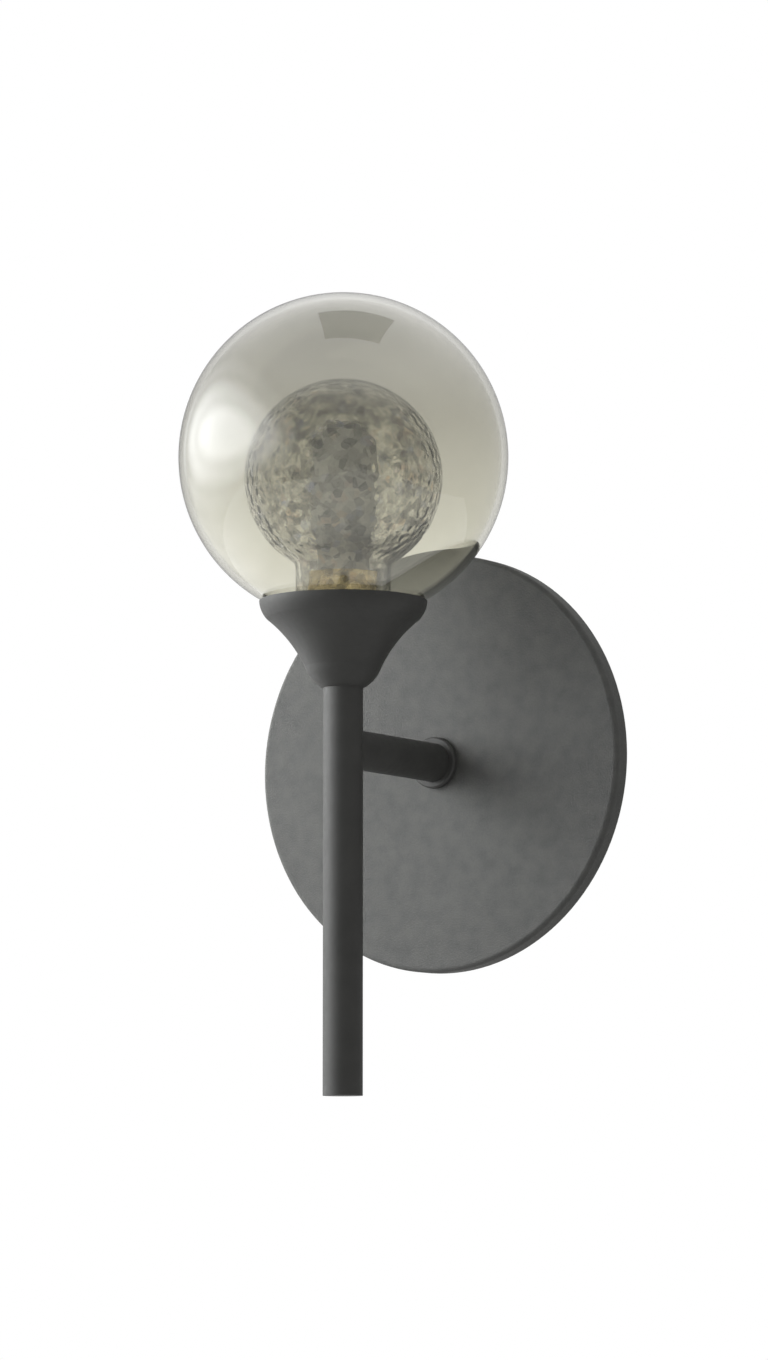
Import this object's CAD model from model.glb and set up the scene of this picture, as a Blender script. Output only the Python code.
"""Globe wall sconce, photographed from its right and slightly from below."""
from math import cos, radians, sin, sqrt

import bmesh
import bpy
from mathutils import Matrix, Vector, noise


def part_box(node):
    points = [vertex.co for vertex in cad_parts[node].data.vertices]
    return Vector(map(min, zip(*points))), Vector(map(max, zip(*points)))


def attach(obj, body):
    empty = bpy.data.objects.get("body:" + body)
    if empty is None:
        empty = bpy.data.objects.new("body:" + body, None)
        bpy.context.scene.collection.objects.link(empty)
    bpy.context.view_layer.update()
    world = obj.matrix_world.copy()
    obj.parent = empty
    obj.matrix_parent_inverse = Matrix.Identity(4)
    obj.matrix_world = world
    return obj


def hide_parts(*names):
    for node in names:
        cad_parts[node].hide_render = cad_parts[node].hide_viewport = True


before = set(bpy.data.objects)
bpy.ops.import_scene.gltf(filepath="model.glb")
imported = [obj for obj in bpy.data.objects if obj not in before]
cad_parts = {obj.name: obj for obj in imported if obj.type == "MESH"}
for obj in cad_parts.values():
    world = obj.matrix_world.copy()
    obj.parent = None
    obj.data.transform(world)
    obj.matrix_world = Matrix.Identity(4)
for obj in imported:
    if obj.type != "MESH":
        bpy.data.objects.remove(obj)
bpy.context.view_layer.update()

# ---- Camera ----
# A long lens 1.4 m away, turned 33 degrees to the sconce's right and 7.2 degrees below it, then
# moved a little to its left and up, which puts the sconce in the frame as in the photograph.
turn, rise = radians(33.0), radians(-7.2)
distance = 1.4
to_left, to_top = 0.0193, 0.0264
back = Vector((sin(turn) * cos(rise), -cos(turn) * cos(rise), sin(rise)))
right = Vector((cos(turn), sin(turn), 0))
upward = back.cross(right)
lens = bpy.data.cameras.new("camera")
lens.lens = 119.0
lens.clip_end = 50
camera = bpy.data.objects.new("camera", lens)
camera.location = back * distance - right * to_left + upward * to_top
camera.rotation_euler = (-back).to_track_quat("-Z", "Y").to_euler()
bpy.context.scene.collection.objects.link(camera)
bpy.context.scene.camera = camera
bpy.context.scene.view_settings.view_transform = "Standard"

# ---- Room: white surroundings, soft lamp and pale floor ----
# The sconce hangs 1.6 m above a pale floor in white surroundings, lit by them and by one soft
# lamp close on its left. A reflection shows the room duller than the eye does, with a lighter
# ceiling, a dark beam across it, and two soft glows on the left.


def maths(tree, operation, *values):
    """The result of a Math node over sockets and plain numbers."""
    node = tree.nodes.new("ShaderNodeMath")
    node.operation = operation
    for socket, value in zip(node.inputs, values):
        if isinstance(value, bpy.types.NodeSocket):
            tree.links.new(value, socket)
        else:
            socket.default_value = value
    return node.outputs[0]


wall_mirrored, ceiling_mirrored = 0.40, 1.6
ceiling_starts, ceiling_full = 0.25, 0.85
room_light = 0.37
room = bpy.data.worlds.new("room")
bpy.context.scene.world = room
room.use_nodes = True
air = room.node_tree
air.nodes.clear()
heading = air.nodes.new("ShaderNodeTexCoord")
axes = air.nodes.new("ShaderNodeSeparateXYZ")
air.links.new(heading.outputs["Generated"], axes.inputs[0])
height = air.nodes.new("ShaderNodeMapRange")
height.interpolation_type = "SMOOTHSTEP"
height.inputs["From Min"].default_value = ceiling_starts
height.inputs["From Max"].default_value = ceiling_full
height.inputs["To Min"].default_value = wall_mirrored
height.inputs["To Max"].default_value = ceiling_mirrored
air.links.new(axes.outputs["Z"], height.inputs["Value"])
rays = air.nodes.new("ShaderNodeLightPath").outputs
looked_at = maths(air, "MAXIMUM", rays["Is Camera Ray"], rays["Is Transmission Ray"])
mirrored = maths(air, "MULTIPLY", rays["Is Glossy Ray"], height.outputs["Result"])
level = maths(air, "MAXIMUM", maths(air, "MAXIMUM", looked_at, mirrored), room_light)
sky = air.nodes.new("ShaderNodeBackground")
sky.inputs["Color"].default_value = (1, 1, 1, 1)
air.links.new(level, sky.inputs["Strength"])
air.links.new(sky.outputs[0], air.nodes.new("ShaderNodeOutputWorld").inputs["Surface"])

light = bpy.data.lights.new("left_softbox", "AREA")
light.shape = "RECTANGLE"
light.size, light.size_y = 0.30, 0.24
light.energy = 1.5
lit_place = Vector((0, -0.03, 0))
lamp_way = Vector((-0.88, -0.36, 0.25)).normalized()
lamp_distance = 0.36
softbox = bpy.data.objects.new("left_softbox", light)
softbox.location = lit_place + lamp_way * lamp_distance
softbox.rotation_euler = lamp_way.to_track_quat("Z", "Y").to_euler()
softbox.visible_camera = False
softbox.visible_glossy = False
softbox.visible_transmission = False
bpy.context.scene.collection.objects.link(softbox)

globes_at = Vector((0, -0.058, 0.088))


def reflected_card(name, centre, across, width, height, brightness, stops, through=1.0):
    """A card that faces the globes, only in reflections, with a glow that fades outwards."""
    sheet = bmesh.new()
    bmesh.ops.create_grid(sheet, x_segments=1, y_segments=1, size=1.0)
    data = bpy.data.meshes.new(name)
    sheet.to_mesh(data)
    sheet.free()
    card = bpy.data.objects.new(name, data)
    way = centre.normalized()
    up = way.cross(across).normalized()
    card.scale = (width / 2, height / 2, 1)
    card.location = globes_at + centre
    card.rotation_euler = Matrix((up.cross(way), up, way)).transposed().to_euler()
    bpy.context.scene.collection.objects.link(card)
    paint = bpy.data.materials.new(name)
    paint.use_nodes = True
    nodes, links = paint.node_tree.nodes, paint.node_tree.links
    nodes.clear()
    place = nodes.new("ShaderNodeTexCoord")
    fade = nodes.new("ShaderNodeTexGradient")
    fade.gradient_type = "SPHERICAL"
    links.new(place.outputs["Object"], fade.inputs["Vector"])
    ramp = nodes.new("ShaderNodeValToRGB")
    ramp.color_ramp.interpolation = "EASE"
    bar = ramp.color_ramp.elements
    while len(bar) < len(stops):
        bar.new(0.5)
    cool = Vector((0.96, 0.98, 1.0))
    for element, (at, grey) in zip(bar, stops):
        element.position = at
        element.color = (*(cool * grey), 1)
    links.new(fade.outputs["Fac"], ramp.inputs["Fac"])
    glow = nodes.new("ShaderNodeEmission")
    glow.inputs["Strength"].default_value = brightness
    links.new(ramp.outputs["Color"], glow.inputs["Color"])
    veil = nodes.new("ShaderNodeBsdfTransparent")
    veil.inputs["Color"].default_value = (through, through, through, 1)
    both = nodes.new("ShaderNodeAddShader")
    links.new(glow.outputs[0], both.inputs[0])
    links.new(veil.outputs[0], both.inputs[1])
    links.new(both.outputs[0], nodes.new("ShaderNodeOutputMaterial").inputs["Surface"])
    data.materials.append(paint)
    card.visible_camera = False
    card.visible_diffuse = False
    card.visible_transmission = False
    card.visible_shadow = False


reflected_card(
    "softbox_glow",
    centre=Vector((-0.82, -0.55, 0.20)).normalized() * 1.2,
    across=back,
    width=4.2,
    height=1.8,
    brightness=9.0,
    stops=((0.0, 0.0), (0.3, 0.10), (0.6, 0.50), (0.82, 1.0)),
)
reflected_card(
    "bounce_glow",
    centre=Vector((-0.88, -0.20, -0.40)).normalized() * 1.3,
    across=back,
    width=2.6,
    height=1.5,
    brightness=1.7,
    stops=((0.0, 0.0), (0.4, 0.6), (0.8, 1.0)),
)
reflected_card(
    "ceiling_beam",
    centre=upward * 1.0 + right * 0.08 - back * 0.225,
    across=right,
    width=0.50,
    height=0.59,
    brightness=0.3,
    stops=((0.0, 1.0), (1.0, 1.0)),
    through=0.0,
)

floor_level, floor_half = -1.6, 4.0
floor_mesh = bmesh.new()
bmesh.ops.create_grid(floor_mesh, x_segments=8, y_segments=8, size=floor_half)
bmesh.ops.translate(floor_mesh, verts=floor_mesh.verts, vec=(0, 0, floor_level))
floor_data = bpy.data.meshes.new("floor")
floor_mesh.to_mesh(floor_data)
floor_mesh.free()
floor = bpy.data.objects.new("floor", floor_data)
bpy.context.scene.collection.objects.link(floor)
floor_paint = bpy.data.materials.new("floor_paint")
floor_paint.use_nodes = True
boards = floor_paint.node_tree
painted = boards.nodes["Principled BSDF"]
painted.inputs["Base Color"].default_value = (0.86, 0.86, 0.85, 1)
painted.inputs["Roughness"].default_value = 0.9
rays = boards.nodes.new("ShaderNodeLightPath").outputs
looked_at = maths(boards, "MAXIMUM", rays["Is Camera Ray"], rays["Is Transmission Ray"])
looked_at = maths(boards, "MAXIMUM", looked_at, rays["Is Glossy Ray"])
white_share, white_level = 0.85, 1.12
white = boards.nodes.new("ShaderNodeEmission")
white.inputs["Strength"].default_value = white_level
cover = boards.nodes.new("ShaderNodeMixShader")
boards.links.new(maths(boards, "MULTIPLY", looked_at, white_share), cover.inputs["Fac"])
boards.links.new(painted.outputs[0], cover.inputs[1])
boards.links.new(white.outputs[0], cover.inputs[2])
boards.links.new(cover.outputs[0], boards.nodes["Material Output"].inputs["Surface"])
floor_data.materials.append(floor_paint)

# ---- Wall bracket and the plated steel fittings ----
# Strap pressed from 1.5 mm steel, with the hollow threaded rods, nuts, washers and the
# lampholder's yoke. All of it is zinc plated, so it is pale grey with a faint spangle.


def new_finish(name, roughness, metallic=0.0):
    """A material with one shader, whose constants sit on the shader's own sockets."""
    made = bpy.data.materials.new(name)
    made.use_nodes = True
    shader = made.node_tree.nodes["Principled BSDF"]
    shader.inputs["Roughness"].default_value = roughness
    shader.inputs["Metallic"].default_value = metallic
    return made, shader


def grain(made, size, detail=3.0, stretch=(1, 1, 1)):
    """Noise on the piece's own coordinates, one grain being that many metres across."""
    nodes, links = made.node_tree.nodes, made.node_tree.links
    place = nodes.new("ShaderNodeTexCoord")
    mapping = nodes.new("ShaderNodeMapping")
    mapping.inputs["Scale"].default_value = stretch
    pattern = nodes.new("ShaderNodeTexNoise")
    pattern.inputs["Scale"].default_value = 1 / size
    pattern.inputs["Detail"].default_value = detail
    links.new(place.outputs["Object"], mapping.inputs["Vector"])
    links.new(mapping.outputs["Vector"], pattern.inputs["Vector"])
    return pattern.outputs["Fac"]


def shades(made, factor, *stops, socket="Base Color"):
    """Colours, or plain numbers as greys, that a pattern picks between its stops."""
    nodes, links = made.node_tree.nodes, made.node_tree.links
    ramp = nodes.new("ShaderNodeValToRGB")
    bar = ramp.color_ramp.elements
    while len(bar) < len(stops):
        bar.new(0.5)
    for element, (at, colour) in zip(bar, stops):
        element.position = at
        element.color = (*colour, 1) if isinstance(colour, tuple) else (colour, colour, colour, 1)
    links.new(factor, ramp.inputs["Fac"])
    if socket:
        links.new(ramp.outputs["Color"], nodes["Principled BSDF"].inputs[socket])
    return ramp.outputs["Color"]


def mottle(made, pattern, low, high, socket="Base Color"):
    """Two colours, or two plain numbers, that the middle of a pattern drifts between."""
    shades(made, pattern, (0.3, low), (0.7, high), socket=socket)


def relief(made, height, depth, strength=1.0, under=None):
    """Bump of that depth in metres. A second one lies on the first through under."""
    nodes, links = made.node_tree.nodes, made.node_tree.links
    bump = nodes.new("ShaderNodeBump")
    bump.inputs["Distance"].default_value = depth
    bump.inputs["Strength"].default_value = strength
    links.new(height, bump.inputs["Height"])
    if under:
        links.new(under, bump.inputs["Normal"])
    links.new(bump.outputs["Normal"], nodes["Principled BSDF"].inputs["Normal"])
    return bump.outputs["Normal"]


def dress(made, *names):
    """Give the CAD nodes of those names that material."""
    for name in names:
        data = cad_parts[name].data
        data.materials.clear()
        data.materials.append(made)


zinc_steel, _ = new_finish("zinc_steel", 0.42, 1.0)
mottle(zinc_steel, grain(zinc_steel, 0.0022, 2.0), (0.47, 0.48, 0.49), (0.63, 0.63, 0.62))
mottle(zinc_steel, grain(zinc_steel, 0.0009), 0.33, 0.5, socket="Roughness")
relief(zinc_steel, grain(zinc_steel, 0.0005), 0.00002)
dress(zinc_steel, "wall_bracket", "arm_nipple", "arm_washer", "arm_nut", "stem_insert")
dress(zinc_steel, "cup_nipple", "cup_washer", "cup_nut", "holder_yoke")

# ---- Screws ----
# Turned steel screws, bright plated: the two grub screws in the plate's rim, the lampholder's
# screws, the terminal screws, the block's fixing screws and the earth screw.
screw_steel, _ = new_finish("screw_steel", 0.3, 1.0)
turned = grain(screw_steel, 0.0006, 2.0, (1, 1, 4))
mottle(screw_steel, turned, (0.42, 0.42, 0.41), (0.58, 0.57, 0.55))
relief(screw_steel, turned, 0.00002)
dress(screw_steel, "plate_screws", "holder_screws", "terminal_screws", "block_screws")
dress(screw_steel, "earth_screw")

# ---- Wall plate ----
# Spun steel pan, 130 mm across, in a charcoal powder coat that dries to a fine sandy texture.
# Two grub screws in its rim hold it to the bracket.
textured_coat, _ = new_finish("textured_coat", 0.72)
cloud = grain(textured_coat, 0.005, 5.0)
mottle(textured_coat, cloud, (0.075, 0.076, 0.072), (0.099, 0.100, 0.093))
sand = grain(textured_coat, 0.00055, 2.0)
mottle(textured_coat, sand, 0.62, 0.82, socket="Roughness")
relief(textured_coat, sand, 0.00012, under=relief(textured_coat, cloud, 0.0002, 0.5))
dress(textured_coat, "wall_plate")

# ---- Arm, stem and cup ----
# Steel tube, coped and brazed where the arm meets the stem, with a turned cup screwed on top.
# All in one satin charcoal powder coat with a slight orange peel.
satin_coat, satin = new_finish("satin_coat", 0.5)
satin.inputs["Specular IOR Level"].default_value = 0.2
mottle(satin_coat, grain(satin_coat, 0.01), (0.068, 0.068, 0.065), (0.080, 0.080, 0.076))
mottle(satin_coat, grain(satin_coat, 0.0018), 0.45, 0.56, socket="Roughness")
relief(satin_coat, grain(satin_coat, 0.0011, 1.5), 0.00003)
dress(satin_coat, "arm_tube", "arm_collar", "stem_tube", "stem_plug", "cup")

# ---- Cable bush ----
# Moulded black nylon bush, pressed into the arm's hollow rod. It keeps the leads off the rod's
# sharp end.
bush_plastic, _ = new_finish("bush_plastic", 0.5)
mottle(bush_plastic, grain(bush_plastic, 0.001), 0.035, 0.055)
relief(bush_plastic, grain(bush_plastic, 0.0003), 0.00001)
dress(bush_plastic, "arm_bush")

# ---- Lampholder and the glasses' collar ----
# A brass sleeve round an unglazed steatite body with two nickel plated spring contacts. The
# glasses' own brass collar is cemented in their neck and runs on the sleeve.
brass, _ = new_finish("brass", 0.28, 1.0)
lathe = grain(brass, 0.0012, 3.0, (1, 1, 5))
mottle(brass, lathe, (0.66, 0.53, 0.29), (0.84, 0.72, 0.46))
mottle(brass, grain(brass, 0.004), 0.22, 0.40, socket="Roughness")
relief(brass, lathe, 0.00002)
dress(brass, "holder_sleeve", "neck_collar", "terminal_barrels")

steatite, _ = new_finish("steatite", 0.75)
speck = grain(steatite, 0.0006)
shades(
    steatite,
    speck,
    (0.25, (0.70, 0.66, 0.58)),
    (0.5, (0.82, 0.79, 0.72)),
    (0.8, (0.86, 0.84, 0.79)),
)
relief(steatite, speck, 0.00004)
dress(steatite, "holder_body")

contact_steel, _ = new_finish("contact_steel", 0.25, 1.0)
mottle(contact_steel, grain(contact_steel, 0.0015), (0.60, 0.58, 0.54), (0.72, 0.70, 0.66))
relief(contact_steel, grain(contact_steel, 0.0004, 2.0, (1, 1, 6)), 0.00001)
dress(contact_steel, "holder_contacts", "lamp_pins", "earth_tag")

# ---- Lamp ----
# Two-pin capsule lamp: white ceramic base, opal frosted dome, and inside it a white board with
# two rows of small yellow phosphor chips on each face.
lamp_ceramic, _ = new_finish("lamp_ceramic", 0.4)
mottle(lamp_ceramic, grain(lamp_ceramic, 0.003), (0.80, 0.79, 0.76), (0.87, 0.86, 0.84))
relief(lamp_ceramic, grain(lamp_ceramic, 0.0008), 0.00002)
dress(lamp_ceramic, "lamp_base")

lamp_glass, frosted = new_finish("lamp_glass", 0.4)
mottle(lamp_glass, grain(lamp_glass, 0.002), (0.84, 0.85, 0.89), (0.90, 0.91, 0.94))
frosted.inputs["Transmission Weight"].default_value = 0.12
frosted.inputs["IOR"].default_value = 1.46
relief(lamp_glass, grain(lamp_glass, 0.0005), 0.00002)
dress(lamp_glass, "lamp_dome")

lamp_board_white, _ = new_finish("lamp_board_white", 0.55)
mottle(lamp_board_white, grain(lamp_board_white, 0.001), 0.74, 0.82)
relief(lamp_board_white, grain(lamp_board_white, 0.0003), 0.00001)
dress(lamp_board_white, "lamp_board")

phosphor, _ = new_finish("phosphor", 0.6)
mottle(phosphor, grain(phosphor, 0.0006), (0.78, 0.56, 0.07), (0.86, 0.66, 0.12))
relief(phosphor, grain(phosphor, 0.0002), 0.00001)
board_low, board_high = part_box("lamp_board")
board_middle = (board_low + board_high) / 2
chip_size, chip_rows = Vector((0.0024, 0.0004, 0.0014)), 9
chip_offset, end_margin, chip_edge = 0.0019, 0.001, 0.00012
filled = board_high.z - board_low.z - 2 * end_margin
chips = bmesh.new()
for face in (-1, 1):
    for column in (-1, 1):
        for row in range(chip_rows):
            chip = bmesh.ops.create_cube(chips, size=1.0)["verts"]
            bmesh.ops.scale(chips, verts=chip, vec=chip_size)
            rise_up = (row + 0.5) / chip_rows * filled + end_margin
            spot = Vector((column * chip_offset, board_middle.y, board_low.z + rise_up))
            spot.y += face * (board_high.y - board_low.y + chip_size.y) / 2
            bmesh.ops.translate(chips, verts=chip, vec=spot)
bmesh.ops.bevel(
    chips,
    geom=chips.edges[:],
    offset=chip_edge,
    segments=2,
    profile=0.5,
    affect="EDGES",
    material=-1,
)
chips_data = bpy.data.meshes.new("lamp_chips")
chips.to_mesh(chips_data)
chips.free()
chips_data.materials.append(phosphor)
lamp_chips = bpy.data.objects.new("lamp_chips", chips_data)
bpy.context.scene.collection.objects.link(lamp_chips)
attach(lamp_chips, "lamp")

# ---- Gasket ----
# Moulded grey silicone ring that lies loose on the cup's ledge. The smoked globe rests on it,
# and it comes off with the glasses.
silicone, _ = new_finish("silicone", 0.55)
mottle(silicone, grain(silicone, 0.003), (0.26, 0.26, 0.25), (0.33, 0.33, 0.32))
relief(silicone, grain(silicone, 0.0007), 0.00003)
dress(silicone, "seat_gasket")

# ---- Outer globe ----
# Blown globe with a 2 mm wall in thin smoked glass, a little darker towards its top, fused to
# the inner globe's neck at its only opening.


def shell_object(name, mesh, material, body, node):
    """Link a finished shell, let it ride on its body and stand for its CAD node."""
    data = bpy.data.meshes.new(name)
    mesh.to_mesh(data)
    mesh.free()
    data.materials.append(material)
    data.shade_smooth()
    shell = bpy.data.objects.new(name, data)
    bpy.context.scene.collection.objects.link(shell)
    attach(shell, body)
    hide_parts(node)
    return shell


def new_ball(radius, centre, cut_at, around, upwards):
    """A sphere with everything below one height cut off."""
    ball = bmesh.new()
    bmesh.ops.create_uvsphere(ball, u_segments=around, v_segments=upwards, radius=radius)
    bmesh.ops.translate(ball, verts=ball.verts, vec=centre)
    bmesh.ops.bisect_plane(
        ball,
        geom=ball.verts[:] + ball.edges[:] + ball.faces[:],
        plane_co=(0, 0, cut_at),
        plane_no=(0, 0, -1),
        clear_outer=True,
    )
    return ball


def height_shades(made, low, high, *stops, wobble=0.0, socket="Base Color"):
    """Colours from one height on the piece to another, with a soft drift if asked."""
    nodes, links = made.node_tree.nodes, made.node_tree.links
    place = nodes.new("ShaderNodeTexCoord")
    split = nodes.new("ShaderNodeSeparateXYZ")
    span = nodes.new("ShaderNodeMapRange")
    span.inputs["From Min"].default_value = low
    span.inputs["From Max"].default_value = high
    links.new(place.outputs["Object"], split.inputs[0])
    links.new(split.outputs["Z"], span.inputs["Value"])
    drift = maths(
        made.node_tree, "MULTIPLY_ADD", grain(made, 0.03), wobble, span.outputs["Result"]
    )
    return shades(made, drift, *stops, socket=socket)


outer_low, outer_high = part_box("outer_globe")
outer_r = (outer_high.x - outer_low.x) / 2
outer_centre = Vector((0, (outer_low.y + outer_high.y) / 2, outer_high.z - outer_r))
neck_r = sqrt(outer_r**2 - (outer_centre.z - outer_low.z) ** 2)
glass_wall = 0.002

smoked_glass, smoked = new_finish("smoked_glass", 0.02)
smoked.inputs["Transmission Weight"].default_value = 1.0
smoked.inputs["IOR"].default_value = 1.5
height_shades(
    smoked_glass,
    outer_low.z,
    outer_high.z,
    (0.0, (0.84, 0.83, 0.76)),
    (0.30, (0.76, 0.75, 0.67)),
    (0.55, (0.65, 0.64, 0.575)),
    (1.0, (0.485, 0.48, 0.44)),
    wobble=0.06,
)
relief(smoked_glass, grain(smoked_glass, 0.03, 0.0), 0.00006)

globe = new_ball(outer_r, outer_centre, outer_low.z, around=160, upwards=96)
bmesh.ops.recalc_face_normals(globe, faces=globe.faces)
bmesh.ops.solidify(globe, geom=globe.faces[:], thickness=glass_wall)
outer_glass = shell_object(
    "outer_globe_glass", globe, smoked_glass, "globe", "outer_globe"
)
# A lamp's light would stop at glass that throws a shadow.
outer_glass.visible_shadow = False

# ---- Inner globe ----
# Smaller globe blown in one with its neck. Its wall is crackled all over except at the crown:
# small tilted facets, finer and deeper towards the neck, with a few tinted glints.
inner_low, inner_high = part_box("inner_globe")
inner_r = (inner_high.x - inner_low.x) / 2
inner_centre = Vector((0, (inner_low.y + inner_high.y) / 2, inner_high.z - inner_r))
neck_top = inner_centre.z - sqrt(inner_r**2 - neck_r**2)
facet, facet_slope = 0.0023, 0.16

textured_glass, textured = new_finish("textured_glass", 0.08)
textured.inputs["Transmission Weight"].default_value = 1.0
textured.inputs["IOR"].default_value = 1.5
nodes, links = textured_glass.node_tree.nodes, textured_glass.node_tree.links
place = nodes.new("ShaderNodeTexCoord")
cells = nodes.new("ShaderNodeTexVoronoi")
cells.inputs["Scale"].default_value = 1 / facet
links.new(place.outputs["Object"], cells.inputs["Vector"])
fleck = nodes.new("ShaderNodeSeparateColor")
links.new(cells.outputs["Color"], fleck.inputs["Color"])
flecks = shades(
    textured_glass,
    fleck.outputs["Red"],
    (0.0, (0.26, 0.26, 0.26)),
    (0.25, (0.60, 0.595, 0.57)),
    (0.6, (0.88, 0.87, 0.83)),
    (0.92, (1.0, 0.99, 0.95)),
    (0.95, (0.95, 0.76, 0.60)),
    (0.98, (0.68, 0.71, 0.84)),
    socket=None,
)
depth_of_wall = height_shades(
    textured_glass,
    inner_centre.z,
    inner_high.z,
    (0.0, (1.0, 1.0, 1.0)),
    (0.55, (0.94, 0.94, 0.93)),
    (1.0, (0.78, 0.78, 0.76)),
    socket=None,
)
stained = nodes.new("ShaderNodeMix")
stained.data_type = "RGBA"
stained.blend_type = "MULTIPLY"
stained.inputs["Factor"].default_value = 1.0
links.new(flecks, stained.inputs["A"])
links.new(depth_of_wall, stained.inputs["B"])
links.new(stained.outputs["Result"], textured.inputs["Base Color"])
relief(textured_glass, cells.outputs["Distance"], 0.00015, 0.5)

crackle = new_ball(inner_r, inner_centre, neck_top, around=250, upwards=140)
neck_steps = 14
neck_drop = (neck_top - inner_low.z) / neck_steps
mouth = [e for e in crackle.edges if e.is_boundary]
for _ in range(neck_steps):
    grown = bmesh.ops.extrude_edge_only(crackle, edges=mouth)["geom"]
    ring = [v for v in grown if isinstance(v, bmesh.types.BMVert)]
    mouth = [e for e in grown if isinstance(e, bmesh.types.BMEdge) and e.is_boundary]
    bmesh.ops.translate(crackle, verts=ring, vec=(0, 0, -neck_drop))
throat_reach, throat_passes = 0.004, 6
throat = [v for v in crackle.verts if abs(v.co.z - neck_top) < throat_reach]
for _ in range(throat_passes):
    bmesh.ops.smooth_vert(
        crackle, verts=throat, factor=0.5, use_axis_x=True, use_axis_y=True, use_axis_z=True
    )
bmesh.ops.recalc_face_normals(crackle, faces=crackle.faces)
smooth_crown, crown_fade, neck_fade = 0.86, 0.25, 0.003
work_at_crown, work_towards_neck = 0.55, 0.45
scramble = 7.31
for vert in crackle.verts:
    away = vert.co - inner_centre
    if vert.co.z < neck_top or away.length == 0:
        continue
    outwards = away.normalized()
    below_crown = (1 - outwards.z) / 2
    worked = min(1.0, max(0.0, (smooth_crown - outwards.z) / crown_fade))
    worked *= work_at_crown + work_towards_neck * below_crown
    worked *= min(1.0, (vert.co.z - neck_top) / neck_fade)
    _, near = noise.voronoi(vert.co / facet)
    cell = Vector(near[0])
    tilt = noise.cell_vector(cell * scramble) - Vector((0.5, 0.5, 0.5))
    vert.co += outwards * worked * facet_slope * tilt.dot(vert.co - cell * facet)
bmesh.ops.solidify(crackle, geom=crackle.faces[:], thickness=glass_wall)
shell_object("inner_globe_glass", crackle, textured_glass, "globe", "inner_globe")

# ---- Terminal block ----
# Moulded ivory polyamide block for the supply cable, with three brass barrels. Two screws hold
# it on the bracket's back.
block_plastic, _ = new_finish("block_plastic", 0.5)
mottle(block_plastic, grain(block_plastic, 0.004), (0.72, 0.69, 0.60), (0.80, 0.77, 0.69))
relief(block_plastic, grain(block_plastic, 0.0005), 0.00002)
dress(block_plastic, "terminal_block")

# ---- Leads ----
# Three heat resistant single cores: brown live and blue neutral, from the terminal block to the
# lampholder, and a green and yellow earth to the bracket's tag.
for sleeve_name, lead, dark, light_tone in (
    ("brown_sleeve", "live_lead", (0.10, 0.035, 0.015), (0.16, 0.06, 0.03)),
    ("blue_sleeve", "neutral_lead", (0.02, 0.09, 0.30), (0.035, 0.13, 0.40)),
):
    sleeve, _ = new_finish(sleeve_name, 0.45)
    mottle(sleeve, grain(sleeve, 0.003), dark, light_tone)
    relief(sleeve, grain(sleeve, 0.0004), 0.00001)
    dress(sleeve, lead)
earth_sleeve, _ = new_finish("earth_sleeve", 0.45)
nodes, links = earth_sleeve.node_tree.nodes, earth_sleeve.node_tree.links
place = nodes.new("ShaderNodeTexCoord")
split = nodes.new("ShaderNodeSeparateXYZ")
links.new(place.outputs["Object"], split.inputs[0])
yellow_side = maths(earth_sleeve.node_tree, "GREATER_THAN", split.outputs["X"], 0.0)
shades(earth_sleeve, yellow_side, (0.4, (0.10, 0.35, 0.05)), (0.6, (0.80, 0.62, 0.05)))
relief(earth_sleeve, grain(earth_sleeve, 0.0004), 0.00001)
dress(earth_sleeve, "earth_lead")
